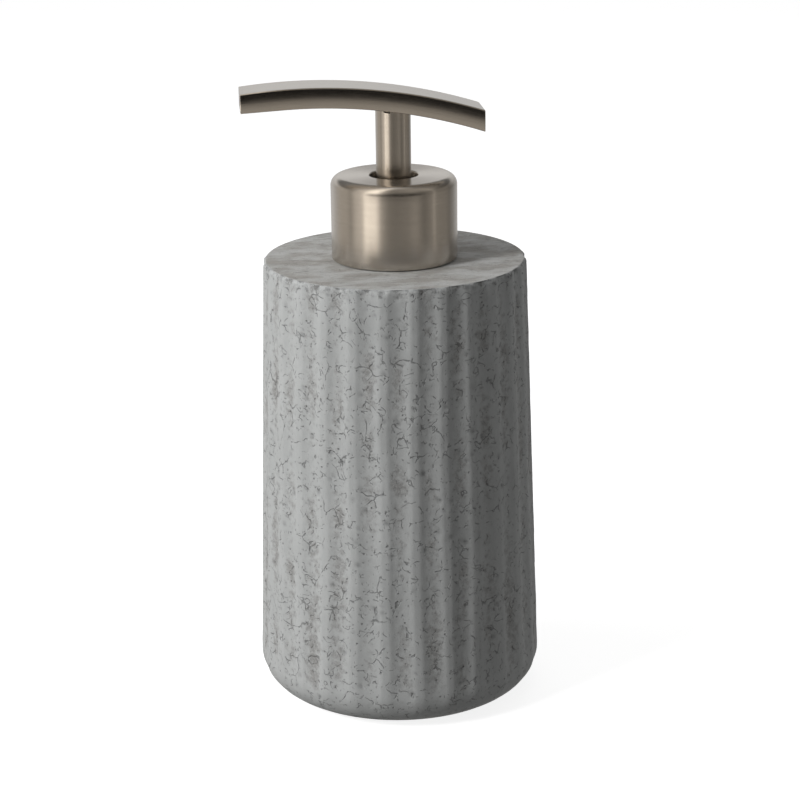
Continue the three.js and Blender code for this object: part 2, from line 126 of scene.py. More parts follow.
# %% Shader maths
class Value:
    """One output of a node. Sums on it add Math nodes."""

    def __init__(self, paint, socket):
        self.paint, self.socket = paint, socket

    def maths(self, operation, *values):
        return self.paint.add("ShaderNodeMath", {"operation": operation}, dict(enumerate(values)))

    def __add__(self, other):
        return self.maths("ADD", self, other)

    def __sub__(self, other):
        return self.maths("SUBTRACT", self, other)

    def __rsub__(self, other):
        return self.maths("SUBTRACT", other, self)

    def __mul__(self, other):
        return self.maths("MULTIPLY", self, other)

    def __truediv__(self, other):
        return self.maths("DIVIDE", self, other)

    def __pow__(self, other):
        return self.maths("POWER", self, other)

    def __abs__(self):
        return self.maths("ABSOLUTE", self)

    __radd__ = __add__
    __rmul__ = __mul__

    def rise(self, start, end, low=0.0, high=1.0):
        """Goes smoothly from low to high as this value goes from start to end."""
        return self.paint.add(
            "ShaderNodeMapRange",
            {"interpolation_type": "SMOOTHSTEP"},
            {"Value": self, "From Min": start, "From Max": end, "To Min": low, "To Max": high},
        )


class Paint:
    """A tree of nodes that is being wired."""

    def __init__(self, tree):
        self.tree = tree
        tree.nodes.clear()

    def add(self, kind, settings=None, sockets=None, out=0):
        node = self.tree.nodes.new(kind)
        for name, value in (settings or {}).items():
            if name == "stops":
                self.set_stops(node.color_ramp, value)
            else:
                setattr(node, name, value)
        for name, value in (sockets or {}).items():
            if isinstance(value, Value):
                self.tree.links.new(value.socket, node.inputs[name])
            else:
                node.inputs[name].default_value = value
        return Value(self, node.outputs[out]) if node.outputs else node

    @staticmethod
    def set_stops(ramp, stops):
        while len(ramp.elements) < len(stops):
            ramp.elements.new(0.5)
        for element, (place, level) in zip(ramp.elements, stops):
            element.position = place
            element.color = (level, level, level, 1)

    def place(self):
        """Where a point is on the object, in millimetres."""
        found = self.add("ShaderNodeTexCoord", out="Object")
        return self.vector("SCALE", found, Scale=1 / MM)

    def vector(self, operation, *values, out=0, **named):
        sockets = {**dict(enumerate(values)), **named}
        return self.add("ShaderNodeVectorMath", {"operation": operation}, sockets, out)

    def apart(self, vector):
        return [self.add("ShaderNodeSeparateXYZ", {}, {0: vector}, out) for out in range(3)]

    def together(self, x, y, z):
        return self.add("ShaderNodeCombineXYZ", {}, {0: x, 1: y, 2: z})

    def noise(self, at, scale, detail=2.0, roughness=0.5, out=0):
        sockets = {"Vector": at, "Scale": scale, "Detail": detail, "Roughness": roughness}
        return self.add("ShaderNodeTexNoise", {}, sockets, out)

    def cells(self, at, scale, feature="F1", out=0):
        settings = {"voronoi_dimensions": "3D", "feature": feature}
        return self.add("ShaderNodeTexVoronoi", settings, {"Vector": at, "Scale": scale}, out)

    def blend(self, share, start, end):
        """The colour between two colours."""
        settings = {"data_type": "RGBA", "clamp_factor": True}
        return self.add("ShaderNodeMix", settings, {0: share, 6: start, 7: end}, out=2)

    def scaled(self, colour, amount):
        return self.vector("SCALE", colour, Scale=amount)

    def attribute(self, name):
        settings = {"attribute_type": "GEOMETRY", "attribute_name": name}
        return self.add("ShaderNodeAttribute", settings, {}, "Fac")

    def bump(self, height, depth_mm=1.0):
        return self.add("ShaderNodeBump", {}, {"Height": height, "Distance": depth_mm * MM})


def colour_of(red, green, blue):
    return (red, green, blue, 1.0)


def new_finish(name):
    """An empty material and the tree to wire it in."""
    material = bpy.data.materials.new(name)
    material.use_nodes = True
    return material, Paint(material.node_tree)


def close_finish(paint, **sockets):
    """Adds the shader itself, with sockets named as in the shader but for spaces."""
    named = {name.replace("_", " "): value for name, value in sockets.items()}
    shader = paint.add("ShaderNodeBsdfPrincipled", {}, named)
    paint.add("ShaderNodeOutputMaterial", {}, {"Surface": shader})


print("shader maths is ready")


# %% [markdown]
# ## The studio
# Cement shows its flutes only when the light comes from one side, so a large soft light and a
# smaller, harder one stand on the left. A weak one hangs overhead, and another lifts the edge on
# the far right. Steel shows nothing but its surroundings, so those matter more than any light: a
# pale backdrop for the top faces and the outer edges, a bright strip at the left, and a darker
# room in front. The surroundings are written as a ramp round the compass, which is then changed
# with the height: a dark front, the table's glow below it, and a ceiling. Matt surfaces get only
# an even fill, and the background that the camera sees stays plain.

# %% Surroundings
def compass(paint):
    """0.5 towards the camera, less to its left, more to its right, 0 and 1 behind the object;
    and the height of the direction."""
    x, y, z = paint.apart(paint.add("ShaderNodeTexCoord", out="Generated"))
    right = x * math.cos(HEADING) - y * math.sin(HEADING)
    nearer = 0 - x * math.sin(HEADING) - y * math.cos(HEADING)
    return right.maths("ARCTAN2", right, nearer) / (2 * math.pi) + 0.5, z


ROUND_THE_ROOM = [  # (compass, brightness)
    (0.0, 0.72), (0.10, 0.70), (0.15, 0.58), (0.235, 0.54), (0.262, 0.36), (0.290, 0.62),
    (0.335, 0.78), (0.350, 1.55), (0.404, 1.75), (0.434, 0.44), (0.470, 0.13), (0.51, 0.08),
    (0.57, 0.13), (0.614, 0.26), (0.655, 0.20), (0.705, 0.33), (0.716, 0.58), (0.728, 0.33),
    (0.80, 0.34), (0.835, 0.26), (0.88, 0.40), (1.0, 0.72),
]
WARM_ROOM, PLAIN_ROOM = (1.0, 0.94, 0.86, 1), (1.0, 1.0, 1.0, 1)
world = bpy.data.worlds.new("studio")
world.use_nodes = True
bpy.context.scene.world = world
room = Paint(world.node_tree)
turn, height = compass(room)
around = room.add("ShaderNodeValToRGB", {"stops": ROUND_THE_ROOM}, {"Fac": turn})
level = room.add("ShaderNodeRGBToBW", {}, {0: around})
in_front = abs(turn - 0.5).rise(0.17, 0.10)
table_glow = height.rise(-0.168, -0.180, 0.0, 0.21) + height.rise(-0.240, -0.265, 0.0, 0.10)
front_dark = 1 - in_front * height.rise(-0.180, -0.168, 0.0, 0.86) * height.rise(0.45, 0.20)
at_the_right = turn.rise(0.56, 0.62) * turn.rise(0.91, 0.86)
right_dark = 1 - at_the_right * height.rise(-0.208, -0.196, 0.0, 0.30)
back_side = abs(turn - 0.5).rise(0.20, 0.30)
wall = 1 + back_side * height.rise(0.16, 0.22, -0.14, 0.06)
ceiling_dark = 1 - back_side * height.rise(0.30, 0.45) * height.rise(0.985, 0.93, 0.0, 0.90)
ceiling = height.rise(0.35, 0.65, 0.0, 0.16)
reflected = (level * front_dark * right_dark * wall + table_glow * in_front) * ceiling_dark + ceiling
behind = abs(turn - 0.5).rise(0.36, 0.46)
fill = behind * 0.58 + 0.195
light_path = room.tree.nodes.new("ShaderNodeLightPath")
seen = Value(room, light_path.outputs["Is Camera Ray"])
glossy = Value(room, light_path.outputs["Is Glossy Ray"])
strength = seen + (1 - seen) * (glossy * reflected + (1 - glossy) * fill)
back_wall = abs(turn - 0.5).rise(0.30, 0.40)
tint = room.blend(glossy * (1 - back_wall), PLAIN_ROOM, WARM_ROOM)
surroundings = room.add("ShaderNodeBackground", {}, {"Color": tint, "Strength": strength})
room.add("ShaderNodeOutputWorld", {}, {"Surface": surroundings})
print("surroundings with", len(ROUND_THE_ROOM), "stops")

# %% Lights
LIT_PLACE = Vector((0, 0, 0.08))


def soft_light(name, compass_deg, height_deg, distance, size, power):
    """A square light that faces the middle of the dispenser, with its sizes in metres. The compass
    is 0 at the camera and negative to its left."""
    lamp = bpy.data.lights.new(name, "AREA")
    lamp.shape, lamp.size, lamp.energy = "SQUARE", size, power
    light = bpy.data.objects.new(name, lamp)
    bpy.context.scene.collection.objects.link(light)
    turn = math.radians(compass_deg) - HEADING
    flat, up = math.cos(math.radians(height_deg)), math.sin(math.radians(height_deg))
    out = Vector((math.sin(turn) * flat, -math.cos(turn) * flat, up))
    light.location = LIT_PLACE + out * distance
    light.rotation_euler = out.to_track_quat("Z", "Y").to_euler()
    light.visible_glossy = light.visible_camera = False


soft_light("window_light", -78, 26, 1.1, 0.95, 7.4)
soft_light("key_light", -54, 31, 1.1, 0.24, 8.2)
soft_light("top_light", -20, 80, 1.0, 0.9, 1.0)
soft_light("backdrop_light", 118, 12, 1.2, 1.0, 2.6)
print("four soft lights")

# %% Floor
FLOOR_SIDE = 6.0
floor_finish, paint = new_finish("pale_floor")
close_finish(
    paint,
    Base_Color=colour_of(0.40, 0.40, 0.40),
    Roughness=0.9,
    Emission_Color=colour_of(1, 1, 1),
    Emission_Strength=0.82,
)
bm = bmesh.new()
bmesh.ops.create_grid(bm, x_segments=1, y_segments=1, size=FLOOR_SIDE / 2)
floor_mesh = bpy.data.meshes.new("floor")
bm.to_mesh(floor_mesh)
bm.free()
floor = bpy.data.objects.new("floor", floor_mesh)
bpy.context.scene.collection.objects.link(floor)
floor_mesh.materials.append(floor_finish)
floor.visible_diffuse = floor.visible_glossy = False
floor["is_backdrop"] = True
print("floor", FLOOR_SIDE, "m a side")


# %% [markdown]
# ## Cast cement
# The body is cast in a fluted mould. Where the mix touched smooth mould it has a pale, tight skin;
# in patches towards the bottoms of the flutes the skin is torn, darker and rougher. The colour is
# also darkened by depth in the flutes and pits and in a band under the rim, which is painted shade.
# Bubbles leave pits, and drying leaves short hairline cracks. The pattern is made from noise and
# cells in real millimetres, and three numbers that the mesh carries say where a point is: how deep
# in a flute, how deep in a pit, and whether it is on the trowelled top.

# %% Cast cement finish
cement_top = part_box("concrete_body")[1].z / MM
cast_cement, paint = new_finish("cast_cement")
at = paint.place()
x, y, z = paint.apart(at)
hollow, pit, on_top = (paint.attribute(name) for name in ("hollow", "pit", "top"))

wander = paint.noise(at, 0.16, 3, out="Color")
bent = paint.vector("ADD", at, paint.scaled(paint.vector("SUBTRACT", wander, (0.5,) * 3), 5.0))
patches = paint.noise(at, 0.06, 4, 0.55)
mottle = paint.noise(at, 0.55, 5, 0.62)
speckle = paint.noise(at, 1.9, 4, 0.7)

crack_edges = paint.cells(bent, 0.19, "DISTANCE_TO_EDGE")
crack_places = paint.noise(at, 0.27, 2).rise(0.53, 0.60)
crack_weight = paint.noise(at, 0.8, 3).rise(0.35, 0.65, 0.010, 0.036)
cracks = (crack_weight - crack_edges).rise(0.0, 0.014) * crack_places
curl_field = abs(paint.noise(bent, 0.28, 1.5) - 0.52)
curl_places = paint.noise(at, 0.36, 1).rise(0.56, 0.62)
curls = curl_field.rise(0.017, 0.006) * curl_places
strokes_at = paint.vector("MULTIPLY", bent, (1.0, 1.0, 0.55))
strokes = abs(paint.noise(strokes_at, 0.75, 2) - 0.5).rise(0.026, 0.009)
strokes = strokes * paint.noise(at, 0.9, 1).rise(0.61, 0.67)
dot_cells = paint.cells(at, 0.45)
dot_pick = paint.add("ShaderNodeRGBToBW", {}, {0: paint.cells(at, 0.45, out="Color")})
dots = (dot_cells + (speckle - 0.5) * 0.12).rise(0.15, 0.08) * dot_pick.rise(0.50, 0.56)
lines = cracks.maths("MAXIMUM", cracks, curls * 0.9)
lines = lines.maths("MAXIMUM", lines, strokes * 0.8)
marks = lines.maths("MAXIMUM", lines, dots)

# painted shade and real torn skin: flute depth (hollow) raises this mask in every flute bottom, so
# the flutes darken as if in shade, and the noises add the real torn patches
torn_skin_and_hollow_shade = (hollow * 0.50 + (mottle - 0.5) * 1.5 + (patches - 0.5) * 1.8).rise(0.32, 0.95)
# painted shade: a darker, mottled band just under the rim
below_rim = z.rise(cement_top - 2.6, cement_top - 0.6)
under_rim = below_rim * (mottle + (speckle - 0.5) * 0.5).rise(0.40, 0.62)
torn_and_shade_darkening = torn_skin_and_hollow_shade * speckle.rise(0.38, 0.62, 0.06, 0.24) + under_rim * 0.30
DULL_SKIN, PALE_SKIN = colour_of(0.355, 0.362, 0.358), colour_of(0.388, 0.395, 0.391)
TORN_AND_SHADED_CEMENT = colour_of(0.290, 0.286, 0.276)
WORKED_TOP, PALE_TOP = colour_of(0.310, 0.301, 0.283), colour_of(0.425, 0.427, 0.419)
skin = paint.blend(patches.rise(0.3, 0.7), DULL_SKIN, PALE_SKIN)
side = paint.blend(torn_skin_and_hollow_shade * 0.8, skin, TORN_AND_SHADED_CEMENT)
side_shade = 1 - torn_and_shade_darkening - (mottle - 0.5) * 0.12 - (speckle - 0.5) * 0.08

smear = paint.together(x * 0.22 + y * 0.10, y * 0.85 - x * 0.12, z * 0.4)
streaks = paint.noise(smear, 1.0, 7, 0.74)
smudges = paint.noise(paint.vector("MULTIPLY", bent, (0.6, 1.3, 1.0)), 0.13, 4, 0.62)
top_colour = paint.blend(smudges.rise(0.38, 0.62), WORKED_TOP, PALE_TOP)
top_shade = 1 - streaks.rise(0.50, 0.72) * 0.38 + streaks.rise(0.48, 0.34) * 0.08
top_shade = top_shade - (speckle - 0.5) * 0.30 - strokes * 0.22

colour = paint.blend(on_top, side, top_colour)
shade = side_shade * (1 - on_top) + top_shade * on_top
# painted shade: the colour darkens with the depth in a pit
shade = shade * (1 - marks * (0.42 - on_top * 0.28)) * (1 - pit * 0.45)
dip = marks * -0.16 * (1 - on_top * 0.7) + (speckle - 0.5) * (0.04 + torn_skin_and_hollow_shade * 0.16)
dip = dip + (streaks - 0.5) * 0.26 * on_top + (mottle - 0.5) * 0.16 * torn_skin_and_hollow_shade
close_finish(
    paint,
    Base_Color=paint.scaled(colour, shade),
    Roughness=torn_skin_and_hollow_shade * 0.12 + 0.74 + (mottle - 0.5) * 0.12,
    Specular_IOR_Level=0.32,
    Normal=paint.bump(dip),
)
print("cast cement:", len(cast_cement.node_tree.nodes), "nodes")


# %% [markdown]
# ## Brushed steel
# A steel part is brushed by turning or drawing it against an abrasive belt, which leaves fine
# lines in one direction. A line pattern is noise that is squeezed across the lines and stretched
# along them. On a turned part the lines run round the axis, so the pattern is read in height minus
# radius, which follows the outline over the rounded corner too. On the bar they run along the
# arc. The lines also spread a reflection across themselves, which the anisotropy gives.

# %% Brushed steel finishes
STEEL = (0.620, 0.568, 0.505)


def brushed_steel(name, lines_at, roughness, spread, spread_turn, contrast):
    """Steel whose lines come from noise read at lines_at(paint)."""
    finish, paint = new_finish(name)
    at = paint.place()
    across = lines_at(paint, at)
    grain = paint.noise(across, 1.0, 3, 0.6)
    hair = paint.noise(paint.scaled(across, 0.31), 1.0, 4, 0.7)
    scratches = hair.rise(0.66, 0.74)
    hazy = paint.noise(at, 0.12, 3)
    shade = 1 + (grain - 0.5) * contrast + (hair - 0.5) * contrast * 0.8 + scratches * 0.05
    sheen = paint.blend(hazy, colour_of(*STEEL), colour_of(*(c * 0.94 for c in STEEL)))
    close_finish(
        paint,
        Base_Color=paint.scaled(sheen, shade),
        Metallic=1.0,
        Roughness=(grain - 0.5) * 0.08 + (hazy - 0.5) * 0.05 + roughness,
        Anisotropic=spread,
        Anisotropic_Rotation=spread_turn,
        Normal=paint.bump((grain - 0.5) * 0.002 + (hair - 0.5) * 0.0015),
    )
    print(name, "has", len(finish.node_tree.nodes), "nodes")
    return finish


def round_the_axis(paint, at, fine=6.5, length=5.0):
    x, y, z = paint.apart(at)
    radius = ((x ** 2) + (y ** 2)) ** 0.5
    return paint.together(x / radius * length, y / radius * length, (z - radius) * fine)


collar_steel = brushed_steel("collar_steel", round_the_axis, 0.24, 0.82, 0.25, 0.20)
stem_steel = brushed_steel(
    "stem_steel", lambda p, at: round_the_axis(p, at, 4.0, 2.0), 0.23, 0.8, 0.25, 0.12
)


# %% [markdown]
# ## Moulded plastics, rubber, foam and wire
# The parts inside are moulded, cut or drawn. Each has a slightly uneven colour, a faint cloudiness
# in its gloss and a fine surface grain, so one recipe with different numbers serves them all.

# %% Plain finishes
def moulded(name, colour, roughness, grain_mm, depth_mm, metallic=0.0, drawn=(1, 1, 1)):
    """A finish with cloudy colour and gloss, and a grain of a given size and depth."""
    finish, paint = new_finish(name)
    at = paint.vector("MULTIPLY", paint.place(), drawn)
    cloud = paint.noise(at, 0.10, 3)
    grain = paint.noise(at, 1 / grain_mm, 3, 0.6)
    darker = colour_of(*(c * 0.84 for c in colour))
    close_finish(
        paint,
        Base_Color=paint.scaled(paint.blend(cloud, darker, colour_of(*colour)), grain * 0.2 + 0.92),
        Metallic=metallic,
        Roughness=(cloud - 0.5) * 0.14 + (grain - 0.5) * 0.10 + roughness,
        Normal=paint.bump(grain, depth_mm),
    )
    return finish


FINISHES = {
    "bottle_plastic": moulded("milky_bottle", (0.78, 0.78, 0.75), 0.42, 0.9, 0.03),
    "pump_plastic": moulded("pump_moulding", (0.82, 0.82, 0.80), 0.34, 0.6, 0.02),
    "tube_plastic": moulded("dip_tube_drawn", (0.80, 0.81, 0.81), 0.30, 0.8, 0.02, 0, (1, 1, 0.08)),
    "seal_plastic": moulded("soft_seal", (0.84, 0.84, 0.82), 0.48, 0.4, 0.02),
    "dark_plastic": moulded("dark_moulding", (0.028, 0.028, 0.030), 0.45, 0.35, 0.03),
    "nozzle_plastic": moulded("nozzle_moulding", (0.045, 0.052, 0.066), 0.36, 0.25, 0.02),
    "foot_rubber": moulded("foot_rubber", (0.030, 0.030, 0.030), 0.82, 0.3, 0.06),
    "gasket": moulded("gasket_foam", (0.56, 0.54, 0.49), 0.85, 0.22, 0.10),
    "spring_wire": moulded("spring_wire", (0.55, 0.55, 0.55), 0.24, 0.3, 0.006, 1.0),
    "ball_steel": moulded("ball_steel", (0.64, 0.64, 0.64), 0.10, 0.4, 0.001, 1.0),
}
print(len(FINISHES), "finishes for moulded, cut and drawn parts")


# %% [markdown]
# ## From a bmesh to a piece
# Every new piece ends the same way: edges that turn sharply are marked, the mesh becomes an object
# at the origin, it gets its finish, it is hung from an empty for the body that it rides on, and the
# engineering parts that it stands for are hidden.

# %% Making pieces
def sharpen(bm, angle_deg):
    """Smooth shading, but for edges that turn by more than an angle."""
    for face in bm.faces:
        face.smooth = True
    for edge in bm.edges:
        edge.smooth = edge.calc_face_angle(math.pi) < math.radians(angle_deg)


def make_piece(name, bm, body, slot, finish, *stands_for, sharp_deg=32):
    """The finished object for a bmesh, and the parts that it stands for."""
    sharpen(bm, sharp_deg)
    mesh = bpy.data.meshes.new(name)
    bm.to_mesh(mesh)
    bm.free()
    piece = bpy.data.objects.new(name, mesh)
    bpy.context.scene.collection.objects.link(piece)
    mesh.materials.append(finish)
    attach(piece, body)
    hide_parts(*stands_for)
    print(name, "has", len(mesh.polygons), "faces")
    return piece


def outline_of(points):
    """A line through (radius, height) points in mm, in the plane of X and Z."""
    bm = bmesh.new()
    ends = [bm.verts.new((radius * MM, 0, up * MM)) for radius, up in points]
    for start, end in zip(ends, ends[1:]):
        bm.edges.new((start, end))
    return bm, ends


def round_corners(bm, corners, radius, segments):
    """Rounds corners of an outline by a radius in mm."""
    bmesh.ops.bevel(
        bm, geom=corners, offset=radius * MM, offset_type="OFFSET", segments=segments,
        profile=0.5, affect="VERTICES", material=-1,
    )


def break_edges(bm, edges, size, clamped=False):
    """Rounds sharp edges a little, by a size in mm. Clamped keeps it off the next edges."""
    bmesh.ops.bevel(
        bm, geom=edges, offset=size * MM, offset_type="OFFSET", segments=2,
        profile=0.5, affect="EDGES", clamp_overlap=clamped, material=-1,
    )


def nearest_edge(bm, radius, up):
    """The outline's edge whose middle is nearest to a point in mm."""
    spot = Vector((radius * MM, 0, up * MM))
    return min(bm.edges, key=lambda e: ((e.verts[0].co + e.verts[1].co) / 2 - spot).length)


def split_edge(bm, edge, cuts):
    bmesh.ops.subdivide_edges(bm, edges=[edge], cuts=cuts)


def spin_round(bm, segments):
    """Turns the outline once about Z, and closes its seam and poles."""
    bmesh.ops.spin(
        bm, geom=bm.verts[:] + bm.edges[:], axis=(0, 0, 1), cent=(0, 0, 0),
        angle=2 * math.pi, steps=segments, use_merge=True,
    )
    bmesh.ops.remove_doubles(bm, verts=bm.verts, dist=1e-6)
    bmesh.ops.recalc_face_normals(bm, faces=bm.faces)


print("piece maker is ready")


# %% [markdown]
# ## The cement body
# The casting is a slightly tapered cylinder with a rounded foot and 28 flutes, hollow for the
# bottle. A turned blank gives the round shape, and the flutes are cut by drawing its points
# inwards. That is quicker and smoother than cutting 28 grooves, and it lets the flutes fade out
# at the foot, as they do where the mould's ribs run out. The blank needs fourteen columns to each
# flute, and rows about as far apart as its columns.

# %% Cement blank
FLUTES = 28
FLUTE_DEPTH, RIB_SHARE = 0.58, 0.26
FLUTE_TURN = math.radians(1.9)
FLUTE_FADE = 16.0
BODY_BASE_RADIUS, BODY_TOP_RADIUS = 39.85, 35.8
BASE_ROUNDING, RIM_ROUNDING, BOTTLE_ROUNDING = 10.0, 0.9, 6.0
CASTING_GAP = 0.3  # between the cement and what it is cast round
COLUMNS_TO_A_FLUTE, ROWS = 14, 172
COLUMNS = FLUTES * COLUMNS_TO_A_FLUTE
cement_low, cement_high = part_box("concrete_body")
pad_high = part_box("foot_pad")[1]
bottle_low, bottle_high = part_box("inner_bottle")
body_bottom, body_top = cement_low.z / MM, cement_high.z / MM
pad_hole, pad_top = pad_high.x / MM + CASTING_GAP, pad_high.z / MM + CASTING_GAP
bottle_radius = bottle_high.x / MM
bottle_floor = bottle_low.z / MM
neck_hole = 12.9
taper = (BODY_BASE_RADIUS - BODY_TOP_RADIUS) / body_top
shoulder_z, shoulder_low = body_top - 6.0, body_top - 15.0
shoulder_radius = bottle_radius - taper * (shoulder_low - bottle_floor) + 0.45

bm, corners = outline_of([
    (0, pad_top),
    (pad_hole, pad_top),
    (pad_hole, body_bottom),
    (BODY_BASE_RADIUS - taper * body_bottom, body_bottom),
    (BODY_TOP_RADIUS, body_top),
    (neck_hole, body_top),
    (neck_hole, shoulder_z),
    (shoulder_radius, shoulder_low),
    (bottle_radius + CASTING_GAP, bottle_floor + 7.0),
    (bottle_radius + CASTING_GAP, bottle_floor - CASTING_GAP),
    (0, bottle_floor - CASTING_GAP),
])
foot, rim, bottle_corner = corners[3], corners[4], corners[9]
round_corners(bm, [foot], BASE_ROUNDING, 13)
round_corners(bm, [rim], RIM_ROUNDING, 4)
round_corners(bm, [bottle_corner], BOTTLE_ROUNDING, 4)
split_edge(bm, nearest_edge(bm, 37.4, 66), ROWS)  # the fluted side
split_edge(bm, nearest_edge(bm, 23.9, body_top), 30)  # the trowelled top
split_edge(bm, nearest_edge(bm, 30, body_bottom), 3)  # the underside
spin_round(bm, COLUMNS)
print("blank:", len(bm.faces), "faces")


# %% [markdown]
# Now the points are moved as a mason would work the surface: the flutes first, then the unevenness
# of the casting, the torn skin in the flutes, the ragged rim where the top was trowelled off, and
# the pits that bubbles left. Each point also keeps how deep it lies, for the finish to read.

# %% Flutes, rim and trowelled top
def smooth(value, start, end):
    share = min(1.0, max(0.0, (value - start) / (end - start)))
    return share * share * (3 - 2 * share)


def flute_wave(angle, up):
    """0 on a flat rib, rising to 1 in the middle of the round hollow, and none at the foot."""
    sway = noise.noise(Vector((math.cos(angle) * 2, math.sin(angle) * 2, up * 0.03))) * 0.07
    turns = FLUTES * (angle - FLUTE_TURN) / (2 * math.pi) + sway
    from_hollow = min(1.0, (0.5 - abs(turns - round(turns))) / (0.5 - RIB_SHARE / 2))
    return smooth(up, body_bottom, body_bottom + FLUTE_FADE) * (1 - from_hollow ** 2)


RIM_REACH = 2.2  # how far from the rim the chips go
UNDER_COLLAR = 17.2, 18.5  # the top stays flat inside the first radius, and is worked past the other
hollow_layer = bm.verts.layers.float.new("hollow")
pit_layer = bm.verts.layers.float.new("pit")
top_layer = bm.verts.layers.float.new("top")
outer = []
for vert in bm.verts:
    x, y, z = vert.co / MM
    radius, angle = math.hypot(x, y), math.atan2(y, x)
    skin_radius = BODY_BASE_RADIUS - taper * z
    spot = Vector((x, y, z))
    if z > body_top - 1e-3 and radius > neck_hole + 0.1:
        vert[top_layer] = 1.0
    if radius > bottle_radius + 2.5 and z > body_bottom + 1e-3 and radius > skin_radius - 9.5:
        outer.append(vert)
        out = Vector((math.cos(angle), math.sin(angle), 0))
        wave = flute_wave(angle, z) if radius > skin_radius - 1.7 or z < 12 else 0
        near_rim = smooth(z, body_top - RIM_REACH, body_top)
        near_rim *= smooth(radius, skin_radius - RIM_REACH, skin_radius)
        torn_skin = 0.09 * wave * noise.noise(spot * 0.9)
        uneven = 0.07 * noise.noise(spot * 0.14) + 0.04 * noise.noise(spot * 0.5)
        nibble = max(0.0, noise.noise(spot * 0.42 + Vector((7, 3, 1))) - 0.16)
        chip = near_rim * (1.7 * nibble + 0.16 * abs(noise.noise(spot * 1.1)))
        cut = FLUTE_DEPTH * wave + torn_skin + uneven * (z > 9) + 0.6 * chip
        vert.co -= (out * cut + Vector((0, 0, 0.45 * chip))) * MM
        vert[hollow_layer] = min(1.0, wave + chip)
    elif vert[top_layer]:
        drag = Vector((x * 0.05 + y * 0.02, y * 0.35 - x * 0.05, 0))
        flat = smooth(radius, *UNDER_COLLAR)
        vert.co.z += flat * (0.10 * noise.noise(drag) - 0.05 + 0.05 * noise.noise(spot * 0.5)) * MM
print("worked", len(outer), "points of the outside")

# %% Pits
PIT_SEED, PIT_COUNT = 11, 520
draws = random.Random(PIT_SEED)
tree = kdtree.KDTree(len(outer))
for index, vert in enumerate(outer):
    tree.insert(vert.co, index)
tree.balance()
for _ in range(PIT_COUNT):
    angle, up = draws.uniform(0, 2 * math.pi), draws.uniform(6, body_top - 1)
    radius = BODY_BASE_RADIUS - taper * up - 0.3
    reach, depth = draws.uniform(0.55, 1.15), draws.uniform(0.12, 0.34)
    spot = Vector((math.cos(angle) * radius, math.sin(angle) * radius, up)) * MM
    for place, index, distance in tree.find_range(spot, reach * MM):
        vert = outer[index]
        fall = 1 - smooth(distance / MM, 0.1 * reach, reach)
        vert.co -= Vector((place.x, place.y, 0)).normalized() * depth * fall * MM
        vert[pit_layer] = max(vert[pit_layer], fall * min(1.0, depth * 3.2))
make_piece("cement_body", bm, "bottle", "cement", cast_cement, "concrete_body")


# %% [markdown]
# ## The collar
# The collar is a thin sheet of steel drawn over the screw cap. Its top edge is well rounded and
# its hole is turned down in a small roll, so that the edge isn't sharp. An outline with rounded
# corners, spun once, is what the drawing press makes.

# %% Collar
collar_low, collar_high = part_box("collar_shell")
collar_radius, collar_top = collar_high.x / MM, collar_high.z / MM
collar_bottom = collar_low.z / MM
COLLAR_SHEET, COLLAR_ROUNDING, HOLE_RADIUS, HOLE_LIP = 0.9, 2.6, 6.6, 1.2
bm, corners = outline_of([
    (collar_radius - COLLAR_SHEET, collar_bottom),
    (collar_radius, collar_bottom),
    (collar_radius, collar_top),
    (HOLE_RADIUS, collar_top),
    (HOLE_RADIUS, collar_top - COLLAR_SHEET - HOLE_LIP),
    (HOLE_RADIUS + COLLAR_SHEET, collar_top - COLLAR_SHEET - HOLE_LIP),
    (HOLE_RADIUS + COLLAR_SHEET, collar_top - COLLAR_SHEET),
    (collar_radius - COLLAR_SHEET, collar_top - COLLAR_SHEET),
])
bm.edges.new((corners[-1], corners[0]))
round_corners(bm, [corners[2]], COLLAR_ROUNDING, 12)
round_corners(bm, [corners[7]], COLLAR_ROUNDING - COLLAR_SHEET, 6)
round_corners(bm, [corners[3]], 0.3, 4)
round_corners(bm, [corners[1]], 0.15, 2)
split_edge(bm, nearest_edge(bm, 10.5, collar_top), 6)
split_edge(bm, nearest_edge(bm, collar_radius, (collar_top + collar_bottom) / 2), 10)
spin_round(bm, 160)
make_piece("steel_collar", bm, "closure", "brushed_steel", collar_steel, "collar_shell")


# %% [markdown]
# ## The lever bar
# The bar is a flat steel tube bent to a wide arc. Its long edges are only just broken, and its
# sides bulge a trace, as drawn tube does, which is what makes the dark band along the front. The
# tube's section is spun about the arc's centre, far below, and the ends are cut off upright.

# %% Bar section and sweep
bar_low, bar_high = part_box("handle_bar")
BAR_WIDTH, BAR_THICKNESS, BAR_WALL = 13.6, 5.5, 1.0
ARC_RADIUS, CROWN_X = 148.5, -21.7
EDGE_BREAK, SIDE_BULGE = 0.32, 0.10
END_BREAK, BORE_ROUNDING = 0.12, 0.3
SPOUT_OVERRUN, TAIL_OVERRUN = 8, 4  # how far the sweep starts and stops past the cut ends
FLAT_END = bar_low.x / MM + 10.8
arc_z = bar_high.z / MM - ARC_RADIUS
under_radius = ARC_RADIUS - BAR_THICKNESS


def under_height(x, radius=under_radius):
    return arc_z + math.sqrt(radius ** 2 - (x - CROWN_X) ** 2)


def bar_section(width, low, high, rounding, segments):
    """A rectangle across the bar at the crown, with rounded corners."""
    bm = bmesh.new()
    sides = [(-width / 2, low), (width / 2, low), (width / 2, high), (-width / 2, high)]
    ends = [bm.verts.new((CROWN_X * MM, across * MM, (arc_z + up) * MM)) for across, up in sides]
    for start, end in zip(ends, ends[1:] + ends[:1]):
        bm.edges.new((start, end))
    round_corners(bm, ends, rounding, segments)
    return bm


